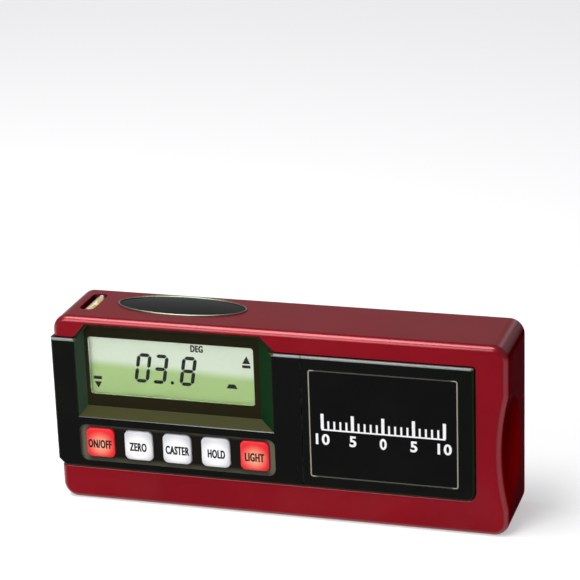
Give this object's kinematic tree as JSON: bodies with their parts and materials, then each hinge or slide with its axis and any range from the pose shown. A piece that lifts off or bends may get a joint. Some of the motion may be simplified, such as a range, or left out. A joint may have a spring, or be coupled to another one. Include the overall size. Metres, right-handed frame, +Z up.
{
  "type": "camber caster gauge",
  "caption": "Digital level for wheel camber and caster: metal body, gloss front with display, push keys, level vial and lift-off battery cover.",
  "frame": {"origin": "centre of the footprint at the base, on the surface that the gauge stands on", "axes": "+X along the length to the right, -Y out of the front, +Z up"},
  "size_m": [0.1524, 0.03, 0.0649],
  "materials": {
    "body_red": "satin red anodised",
    "gloss_black": "gloss moulded",
    "label_black": "gloss printed plate",
    "badge": "domed gloss with silver rim",
    "vial_glass": "clear",
    "vial_yellow": "yellow liquid",
    "vial_seat": "matte",
    "lens_clear": "clear acrylic",
    "cell_green": "pale green display cell",
    "guide_white": "diffusing",
    "holder_black": "matte moulded",
    "strip_grey": "matte",
    "key_red": "satin red",
    "key_white": "satin white",
    "switch_black": "matte",
    "board_green": "solder mask",
    "screw_steel": "zinc plated",
    "can_steel": "bright",
    "chip_black": "matte",
    "cap_sleeve": "sleeve",
    "header_white": "matte",
    "tray_black": "matte moulded",
    "cell_case": "lacquered",
    "plated": "nickel plated",
    "snap_black": "vinyl",
    "lead_red": "soft insulation",
    "lead_black": "soft insulation",
    "foam_grey": "closed cell foam",
    "magnet_nickel": "nickel plated"
  },
  "bodies": {
    "body": {"housing": "body_red", "front_panel": "gloss_black", "oval_badge": "badge", "vial_tube": "vial_glass", "vial_caps": "vial_seat", "vial_fluid": "vial_yellow", "vial_bed": "vial_seat", "lcd_lens": "lens_clear", "lcd_glass": "cell_green", "lcd_backlight": "guide_white", "lcd_holder": "holder_black", "zebra_strip": "strip_grey", "key_switches": "switch_black", "main_pcb": "board_green", "pcb_screws": "screw_steel", "tilt_sensor": "can_steel", "sensor_clamp": "can_steel", "mcu_chip": "chip_black", "crystal": "can_steel", "capacitors": "cap_sleeve", "power_header": "header_white", "battery_tray": "tray_black", "battery_9v": "cell_case", "battery_terminals": "plated", "battery_snap": "snap_black", "battery_lead_red": "lead_red", "battery_lead_black": "lead_black", "battery_foam": "foam_grey", "rear_screws": "screw_steel", "base_magnets": "magnet_nickel"},
    "cover": {"battery_cover": "gloss_black", "label_plate": "label_black"},
    "key_on_off_body": {"key_on_off": "key_red"},
    "key_zero_body": {"key_zero": "key_white"},
    "key_caster_body": {"key_caster": "key_white"},
    "key_hold_body": {"key_hold": "key_white"},
    "key_light_body": {"key_light": "key_red"}
  },
  "joints": [
    {"name": "key_on_off_press", "type": "slide", "parent": "body", "child": "key_on_off_body", "axis": [0, 1, 0], "range_m": [0, 0.0007], "stiffness_N_per_m": 400, "springref_m": -0.0005},
    {"name": "key_zero_press", "type": "slide", "parent": "body", "child": "key_zero_body", "axis": [0, 1, 0], "range_m": [0, 0.0007], "stiffness_N_per_m": 400, "springref_m": -0.0005},
    {"name": "key_caster_press", "type": "slide", "parent": "body", "child": "key_caster_body", "axis": [0, 1, 0], "range_m": [0, 0.0007], "stiffness_N_per_m": 400, "springref_m": -0.0005},
    {"name": "key_hold_press", "type": "slide", "parent": "body", "child": "key_hold_body", "axis": [0, 1, 0], "range_m": [0, 0.0007], "stiffness_N_per_m": 400, "springref_m": -0.0005},
    {"name": "key_light_press", "type": "slide", "parent": "body", "child": "key_light_body", "axis": [0, 1, 0], "range_m": [0, 0.0007], "stiffness_N_per_m": 400, "springref_m": -0.0005},
    {"name": "cover_lift", "type": "slide", "parent": "body", "child": "cover", "axis": [0, -1, 0], "range_m": [0, 0.03]}
  ]
}
